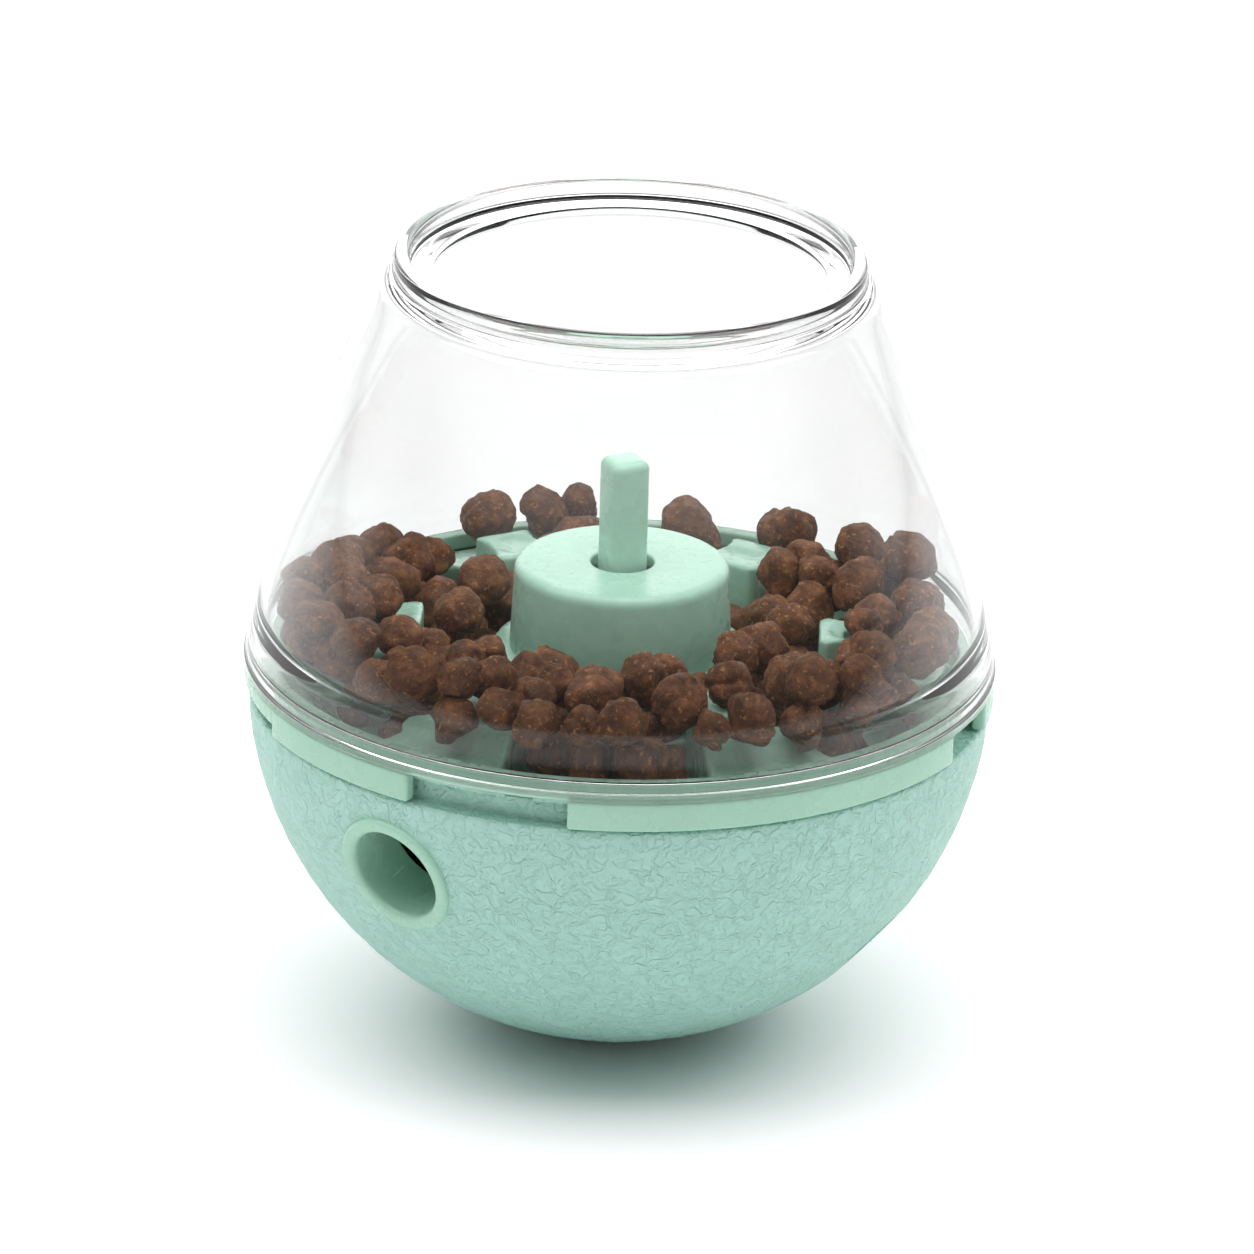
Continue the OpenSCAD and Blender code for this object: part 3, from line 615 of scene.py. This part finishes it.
def side_curve(inset, z_low, z_high, steps):
    """Points of the dome's side, set in from its outer face, from one height to another."""
    foot, top = Vector((RIM_R - 0.15, RIM_Z + RIM_H)), Vector((SHOULDER_R, SHOULDER_Z))
    along = (top - foot).normalized()
    half = (top - foot).length / 2
    middle = (foot + top) / 2 - math.sqrt(SIDE_CURVE_R**2 - half**2) * Vector((along.y, -along.x))
    radius = SIDE_CURVE_R - inset
    points = []
    for i in range(steps + 1):
        z = z_low + (z_high - z_low) * i / steps
        points.append((middle.x + math.sqrt(radius**2 - (z - middle.y) ** 2), z))
    return points


def build_dome(material):
    """Curved clear side with a thick lower band, a flanged mouth, a collar and the ring's seat."""
    thick_top = RIM_Z + RIM_H + THICK_BAND_H
    outer = side_curve(0, RIM_Z + RIM_H + 0.4, SHOULDER_Z - 1.2, 40)
    thick = side_curve(DOME_WALL + STEP_IN, RIM_Z + RING_H + 0.5, thick_top - STEP_RUN - 0.8, 6)
    slope = side_curve(DOME_WALL, thick_top - STEP_RUN, thick_top, 12)
    thick += [(r - STEP_IN * (1 - smooth_step(i / 12)), z) for i, (r, z) in enumerate(slope)]
    inner = side_curve(DOME_WALL, thick_top + 1.5, SHOULDER_Z - FLANGE_H - 3, 32)
    under = side_curve(DOME_WALL, SHOULDER_Z - FLANGE_H, SHOULDER_Z - FLANGE_H, 1)[0]
    collar_in = COLLAR_OUT - COLLAR_W
    collar_top = SHOULDER_Z + COLLAR_H
    outline = rounded([
        (MOUTH_R, SHOULDER_Z - FLANGE_H, 0.5), (MOUTH_R, SHOULDER_Z, 0.7),
        (collar_in, SHOULDER_Z, 0.6), (collar_in, collar_top, 0.9), (COLLAR_OUT, collar_top, 0.9),
        (COLLAR_OUT + 0.15, SHOULDER_Z, 0.8), (SHOULDER_R, SHOULDER_Z - 0.1, 0.8),
    ])
    outline += list(reversed(outer))
    step_r, wall_r = RING_OUT + RING_SEAT_GAP, RING_WALL_OUT + RING_SEAT_GAP
    step_z, seat_z = RIM_Z + RIM_LAP + RING_SEAT_GAP, RIM_Z + RING_H + RING_SEAT_GAP
    outline += rounded([
        (RIM_R - 0.05, RIM_Z + RIM_H, 0.1), (RIM_R, RIM_Z + RIM_H - 0.1, 0.1), (RIM_R, RIM_Z, 0.35),
        (step_r, RIM_Z, 0.2), (step_r, step_z, 0.1), (wall_r, step_z, 0.1), (wall_r, seat_z, 0.15),
        (thick[0][0], seat_z, 0.3),
    ], 4)
    corner = rounded([(*inner[-1], 0), (*under, 3), (MOUTH_R + 1, under[1], 0)], 8)
    outline += thick + inner[:-1] + corner
    bm = bmesh.new()
    lathe(bm, outline, 288)
    dress(finish_mesh("dome", bm, 60), material, "cover", "clear", "clear_dome")


# Tray, drum and post

TRAY_VOXEL = 0.55
SUNK = 0.02


def build_tray(material):
    """The tray with the soft edges of a moulded piece, from its solid."""
    tray = bpy.data.objects.new("tray", nodes["food_tray"].data.copy())
    bpy.context.scene.collection.objects.link(tray)
    remesh = tray.modifiers.new("remesh", "REMESH")
    remesh.mode = "VOXEL"
    remesh.voxel_size = TRAY_VOXEL * MM
    smooth = tray.modifiers.new("smooth", "SMOOTH")
    smooth.factor = 0.5
    smooth.iterations = 3
    bake_modifiers(tray)
    tray.data.shade_smooth()
    dress(tray, material, "base", "mint", "food_tray")


def build_drum(material):
    bm = bmesh.new()
    outline = rounded([
        (DRUM_HOLE_R, DRUM_TOP - DRUM_WALL, 0.2), (DRUM_HOLE_R, DRUM_TOP, 0.45),
        (DRUM_R, DRUM_TOP, DRUM_ROUND), (DRUM_FOOT_R, HUB_TOP + SUNK, 0.3),
        (DRUM_FOOT_R - DRUM_WALL, HUB_TOP + SUNK, 0.1),
        (DRUM_R - DRUM_WALL, DRUM_TOP - DRUM_WALL, 0.5),
    ], 8)
    lathe(bm, outline, 160)
    dress(finish_mesh("drum_shell", bm), material, "base", "mint", "drum")


def rounded_square(side, corner, steps):
    """Outline of a square with round corners, anticlockwise."""
    inset = side / 2 - corner
    points = []
    for quarter, (x, y) in enumerate(((1, 1), (-1, 1), (-1, -1), (1, -1))):
        points += arc((x * inset, y * inset), corner, 90 * quarter, 90 * quarter + 90, steps)
    return points


def build_post(material):
    """Square column with a rounded top, on the collar, spindle and key that carry the shutter."""
    bm = bmesh.new()
    turn = Matrix.Rotation(math.radians(POST_AZ), 4, "Z")
    sections = [(POST_SIDE, POST_COLLAR_Z + 0.5)]
    for t in range(90, -1, -15):
        inset = POST_ROUND * (1 - math.sin(math.radians(t)))
        sections.append((POST_SIDE - 2 * inset,
                         POST_TOP - POST_ROUND * (1 - math.cos(math.radians(t)))))
    rows = []
    for side, z in sections:
        corner = max(0.15, POST_ROUND - (POST_SIDE - side) / 2)
        rows.append([turn @ Vector((x, y, z)) for x, y in rounded_square(side, corner, 6)])
    made = grid(bm, rows, close_rows=False)
    bm.faces.new(made[-1])
    bm.faces.new(reversed(made[0]))
    low, collar_top = SHUTTER_TOP - KEY_LENGTH, POST_COLLAR_Z + POST_COLLAR_H
    spindle = rounded([
        (0.3, low, 0), (KEY_R, low, 0.1), (KEY_R, SHUTTER_TOP, 0), (SPINDLE_R, SHUTTER_TOP, 0.1),
        (SPINDLE_R, POST_COLLAR_Z, 0), (POST_COLLAR_R, POST_COLLAR_Z, 0.2),
        (POST_COLLAR_R, collar_top, 0.4), (0.3, collar_top, 0),
    ], 3)
    lathe(bm, spindle, 72)
    dress(finish_mesh("post_turned", bm, 45), material, "regulator", "mint", "post")


# Food

KIBBLE_PARTS = 3
LONG_PIECE = 5.9
HALF_SHARE = (0.42, 0.58)
HALF_LAP = 1.06
HALF_WIDTH = (0.90, 1.0)
HALF_STOUT = 1.25
HALF_TILT = 0.35

CRUMBS = 90
CRUMB_TRIES = 16
CRUMB_SIZE = (3.1, 4.4)
CRUMB_LONG = (0.05, 0.2)
CRUMB_FRONT = 0.7
CRUMB_SPREAD = 55
CRUMB_BACK = 130
CRUMB_REACH = 50.4
CRUMB_CLEAR = 3
CRUMB_SINK = 0.86
CRUMB_TOP = 60.5
CRUMB_RISE = 0.23
# Rings of a ball's underside: share of its radius, and its rise above the lowest point
BALL_RINGS = ((0, 0), (0.5, 0.134), (0.85, 0.473))

FLATS = 9
FLAT_REACH = (0.74, 0.93)
FLAT_EDGE = 0.07
CREASE_COUNTS = (0, 1, 1, 2)
CREASE_OFFSET = 0.25
CREASE_DEPTH = (0.10, 0.26)
CREASE_WIDTH = 0.10
# Layers of noise: height in shares of the radius, and frequency
LUMP_LAYERS = ((0.16, 1.3),)
BEND_LAYERS = ((0.18, 2),)
GRAIN_LAYERS = ((0.060, 3.4), (0.040, 7), (0.024, 15))


def loose_pieces(node):
    """The vertices of each loose piece of a node, in millimetres."""
    bm = bmesh.new()
    bm.from_mesh(nodes[node].data)
    bmesh.ops.remove_doubles(bm, verts=bm.verts, dist=1e-6)
    seen = set()
    pieces = []
    for start in bm.verts:
        if start in seen:
            continue
        seen.add(start)
        group, edge = [], [start]
        while edge:
            v = edge.pop()
            group.append(v.co / MM)
            for e in v.link_edges:
                other = e.other_vert(v)
                if other not in seen:
                    seen.add(other)
                    edge.append(other)
        pieces.append(group)
    bm.free()
    return pieces


def capsule_of(points):
    """Middle, long axis, radius and half length of the rounded piece that the points lie on."""
    low = Vector([min(p[i] for p in points) for i in range(3)])
    high = Vector([max(p[i] for p in points) for i in range(3)])
    middle = (low + high) / 2
    far = max(points, key=lambda p: (p - middle).length) - middle
    axis = far.normalized()
    reach = far.length
    radius = max((p - middle - axis * (p - middle).dot(axis)).length for p in points)
    return middle, axis, radius, max(0, reach - radius)


def soft_min(a, b, softness):
    """The smaller of two values, with a rounded change from one to the other."""
    h = max(0, min(1, 0.5 + 0.5 * (b - a) / softness))
    return b + (a - b) * h - softness * h * (1 - h)


def random_direction(rng):
    return Vector([rng.gauss(0, 1) for _ in range(3)]).normalized()


def halves(capsule, rng):
    """A long piece as two shorter ones that lean on each other, and a short one as it is."""
    middle, axis, radius, half = capsule
    reach = half + radius
    if reach < LONG_PIECE:
        return [capsule]
    share = rng.uniform(*HALF_SHARE)
    small, large = reach * share * HALF_LAP, reach * (1 - share) * HALF_LAP
    pieces = []
    for size, way in ((small, -1), (large, 1)):
        width = min(radius * rng.uniform(*HALF_WIDTH), size * HALF_STOUT)
        tilt = (axis + random_direction(rng) * HALF_TILT).normalized()
        pieces.append((middle + axis * way * (reach - size), tilt, width, size - width))
    return pieces


def tray_height(tree, x, y, radius):
    """Height on which a ball of the radius stands at a place in the tray."""
    high = None
    for turn in range(8):
        a = math.pi / 4 * turn
        for share, lift in BALL_RINGS:
            off = share * radius
            start = Vector((x + off * math.cos(a), y + off * math.sin(a), DRUM_TOP + 5))
            hit = tree.ray_cast(start * MM, Vector((0, 0, -1)))[0]
            if hit:
                high = max(high or 0, hit.z / MM - lift * radius)
    return high


def add_crumbs(capsules, rng):
    """Smaller pieces poured into the gaps: each lies on the tray or on the pieces below it."""
    solid = bmesh.new()
    for node in ("food_tray", "drum"):
        solid.from_mesh(nodes[node].data)
    tree = BVHTree.FromBMesh(solid)
    solid.free()
    balls = [(middle + axis * half * k, radius)
             for middle, axis, radius, half in capsules for k in (-1, 0, 1)]
    crumbs = []
    for _ in range(CRUMBS):
        best = None
        for _ in range(CRUMB_TRIES):
            size = rng.uniform(*CRUMB_SIZE)
            in_front = rng.random() < CRUMB_FRONT
            azimuth = rng.gauss(0, CRUMB_SPREAD) if in_front else rng.uniform(-180, 180)
            off_axis = rng.uniform(DRUM_R + CRUMB_CLEAR, CRUMB_REACH - size)
            spot = place(azimuth, off_axis, 0)
            under = tray_height(tree, spot.x, spot.y, size)
            if under is None or abs(azimuth) > CRUMB_BACK:
                continue
            z = under + size
            for centre, radius in balls:
                apart = (radius + size) * CRUMB_SINK
                off = math.hypot(spot.x - centre.x, spot.y - centre.y)
                if off < apart:
                    z = max(z, centre.z + math.sqrt(apart**2 - off**2))
            top = CRUMB_TOP + CRUMB_RISE * (off_axis - DRUM_R)
            if z < top and (best is None or z < best[0]):
                best = (z, spot, size)
        if best is None:
            continue
        z, spot, size = best
        middle = Vector((spot.x, spot.y, z))
        axis = random_direction(rng)
        crumbs.append((middle, axis, size * 0.95, size * rng.uniform(*CRUMB_LONG)))
        balls.append((middle, size))
    return crumbs


def waves(direction, shift, layers):
    """Sum of the layers of noise in a direction."""
    height = 0
    for share, frequency in layers:
        height += share * noise.noise(direction * frequency + shift)
    return height


def kibble(bm, capsule, seed, subdivisions):
    """One lumpy piece with flattened sides, in most cases with a crease or two."""
    middle, axis, radius, half = capsule
    rng = random.Random(seed)
    shift = random_direction(rng) * 50
    flats = [(random_direction(rng), rng.uniform(*FLAT_REACH)) for _ in range(FLATS)]
    creases = [
        (random_direction(rng), rng.uniform(-CREASE_OFFSET, CREASE_OFFSET),
         rng.uniform(*CREASE_DEPTH), random_direction(rng))
        for _ in range(rng.choice(CREASE_COUNTS))
    ]
    made = bmesh.ops.create_icosphere(bm, subdivisions=subdivisions, radius=1)
    for v in made["verts"]:
        u = v.co.normalized()
        size = 1 + waves(u, shift, LUMP_LAYERS)
        for normal, reach in flats:
            facing = u.dot(normal)
            if facing > 0.3:
                size = soft_min(size, reach / facing, FLAT_EDGE)
        bend = waves(u, shift, BEND_LAYERS) if creases else 0
        for normal, at, depth, side in creases:
            groove = math.exp(-(((u.dot(normal) - at + bend) / CREASE_WIDTH) ** 2))
            size -= depth * groove * max(0, min(1, u.dot(side) * 2 + 0.6))
        size += waves(u, shift, GRAIN_LAYERS)
        p = middle + u * radius * size + axis * u.dot(axis) * half
        v.co = p * MM


def build_kibble(material, node, count, subdivisions, first_seed, crumbs=False):
    """Detailed pieces at the places of the node's plain ones, as count objects, front to back."""
    rng = random.Random(first_seed)
    capsules = [capsule_of(p) for p in loose_pieces(node)]
    capsules.sort(key=lambda c: c[0].y)
    pieces = [piece for capsule in capsules for piece in halves(capsule, rng)]
    if crumbs:
        pieces += add_crumbs(pieces, rng)
    pieces.sort(key=lambda c: c[0].y)
    share = math.ceil(len(pieces) / count)
    for part in range(count):
        bm = bmesh.new()
        for i, piece in enumerate(pieces[part * share:(part + 1) * share]):
            kibble(bm, piece, first_seed + part * share + i, subdivisions)
        dress(finish_mesh(f"{node}_{part + 1}", bm, 180), material, "base", "kibble", node)


# Floor and light

PAPER_LOW = (0.955, 0.957, 0.96)
PAPER_HIGH = (0.965, 0.967, 0.97)
PAPER_LIFT = (1.12, 1.085, 1.10)


def build_floor():
    """White paper that keeps the shadow, a little brighter where the camera sees it."""
    bm = bmesh.new()
    bmesh.ops.create_grid(bm, x_segments=1, y_segments=1, size=4)
    floor = finish_mesh("floor", bm)
    s = Shader("floor_paper", Roughness=0.9)
    s.main.inputs["Specular IOR Level"].default_value = 0.0
    seen = s.tree.nodes.new("ShaderNodeLightPath").outputs["Is Camera Ray"]
    paper = s.ramp(s.noise(400), (0.3, PAPER_LOW), (0.7, PAPER_HIGH))
    s.wire("Base Color", s.mix(seen, paper, s.mix(1.0, paper, PAPER_LIFT, "MULTIPLY")))
    floor.data.materials.append(s.material)
    floor.location.z = -0.0001


# Strengths, and the spans of the direction's Y and Z in which they change
WORLD_FRONT = 0.11
WORLD_BACK = 0.33
WORLD_SPAN_Y = (-0.97, -0.40)
SEEN_DARK = 0.13
SEEN_WHITE = 1.0
DARK_SPAN_Y = (-0.30, 0.42)
DARK_SPAN_Z = (0.14, 0.36)


def build_world():
    """White surroundings; camera, gloss and glass rays see a dark part low down in front."""
    world = bpy.data.worlds.new("studio")
    bpy.context.scene.world = world
    world.use_nodes = True
    tree = world.node_tree
    back = tree.nodes["Background"]
    back.inputs["Color"].default_value = (1, 1, 1, 1)
    direction = tree.nodes.new("ShaderNodeTexCoord").outputs["Generated"]
    split = tree.nodes.new("ShaderNodeSeparateXYZ")
    tree.links.new(direction, split.inputs[0])

    def change(value, span, low, high):
        level = tree.nodes.new("ShaderNodeMapRange")
        level.interpolation_type = "SMOOTHSTEP"
        names = ("From Min", "From Max", "To Min", "To Max")
        for socket, number in zip(names, (*span, low, high)):
            level.inputs[socket].default_value = number
        tree.links.new(value, level.inputs["Value"])
        return level.outputs["Result"]

    def math_node(operation, first, second):
        node = tree.nodes.new("ShaderNodeMath")
        node.operation = operation
        tree.links.new(first, node.inputs[0])
        tree.links.new(second, node.inputs[1])
        return node.outputs[0]

    lit = change(split.outputs["Y"], WORLD_SPAN_Y, WORLD_FRONT, WORLD_BACK)
    low_front = math_node("MULTIPLY", change(split.outputs["Y"], DARK_SPAN_Y, 1, 0),
                          change(split.outputs["Z"], DARK_SPAN_Z, 1, 0))
    shown = change(low_front, (0, 1), SEEN_WHITE, SEEN_DARK)
    ray = tree.nodes.new("ShaderNodeLightPath")
    seen = ray.outputs["Is Camera Ray"]
    for kind in ("Is Glossy Ray", "Is Transmission Ray"):
        seen = math_node("MAXIMUM", seen, ray.outputs[kind])
    strength = tree.nodes.new("ShaderNodeMix")
    tree.links.new(seen, strength.inputs[0])
    tree.links.new(lit, strength.inputs[2])
    tree.links.new(shown, strength.inputs[3])
    tree.links.new(strength.outputs[0], back.inputs["Strength"])


# Places and sizes of the lamps in metres, powers in watts
SOFTBOX_SIZE = (3.2, 1.4)
SOFTBOX_AIM = Vector((0, 0, 0.06))
SOFTBOXES = (
    ("top_softbox", Vector((0.0, -0.05, 1.3)), 34.5),
    ("back_softbox", Vector((0.0, 2.4, 0.9)), 25.5),
)


def add_softboxes():
    for name, at, power in SOFTBOXES:
        data = bpy.data.lights.new(name, "AREA")
        data.shape = "RECTANGLE"
        data.size, data.size_y = SOFTBOX_SIZE
        data.energy = power
        lamp = bpy.data.objects.new(name, data)
        lamp.location = at
        lamp.rotation_euler = (SOFTBOX_AIM - at).to_track_quat("-Z", "Y").to_euler()
        bpy.context.scene.collection.objects.link(lamp)


# The scene

TRAY_SEED = 100
BOWL_SEED = 900


bpy.context.scene.view_settings.view_transform = "Standard"
add_camera()
build_world()
build_floor()
add_softboxes()

mint = smooth_mint()
crumb = baked_kibble()
build_bowl(rough_mint())
build_outlet(mint)
build_lock_ring(mint)
build_dome(clear_plastic())
build_tray(mint)
build_drum(mint)
build_post(mint)
build_kibble(crumb, "tray_kibble", KIBBLE_PARTS, 4, TRAY_SEED, crumbs=True)
build_kibble(crumb, "bowl_kibble", 1, 3, BOWL_SEED)

steel, iron, rubber = plated_steel(), bare_iron(), soft_rubber()
HIDDEN = {
    "counterweight": iron, "weight_cover": mint, "weight_cover_screws": steel, "drum_screws": steel,
    "friction_washer": rubber, "shutter": mint, "shutter_washer": steel, "shutter_screw": steel,
}
for node, material in HIDDEN.items():
    mesh = nodes[node].data
    mesh.materials.clear()
    mesh.materials.append(material)
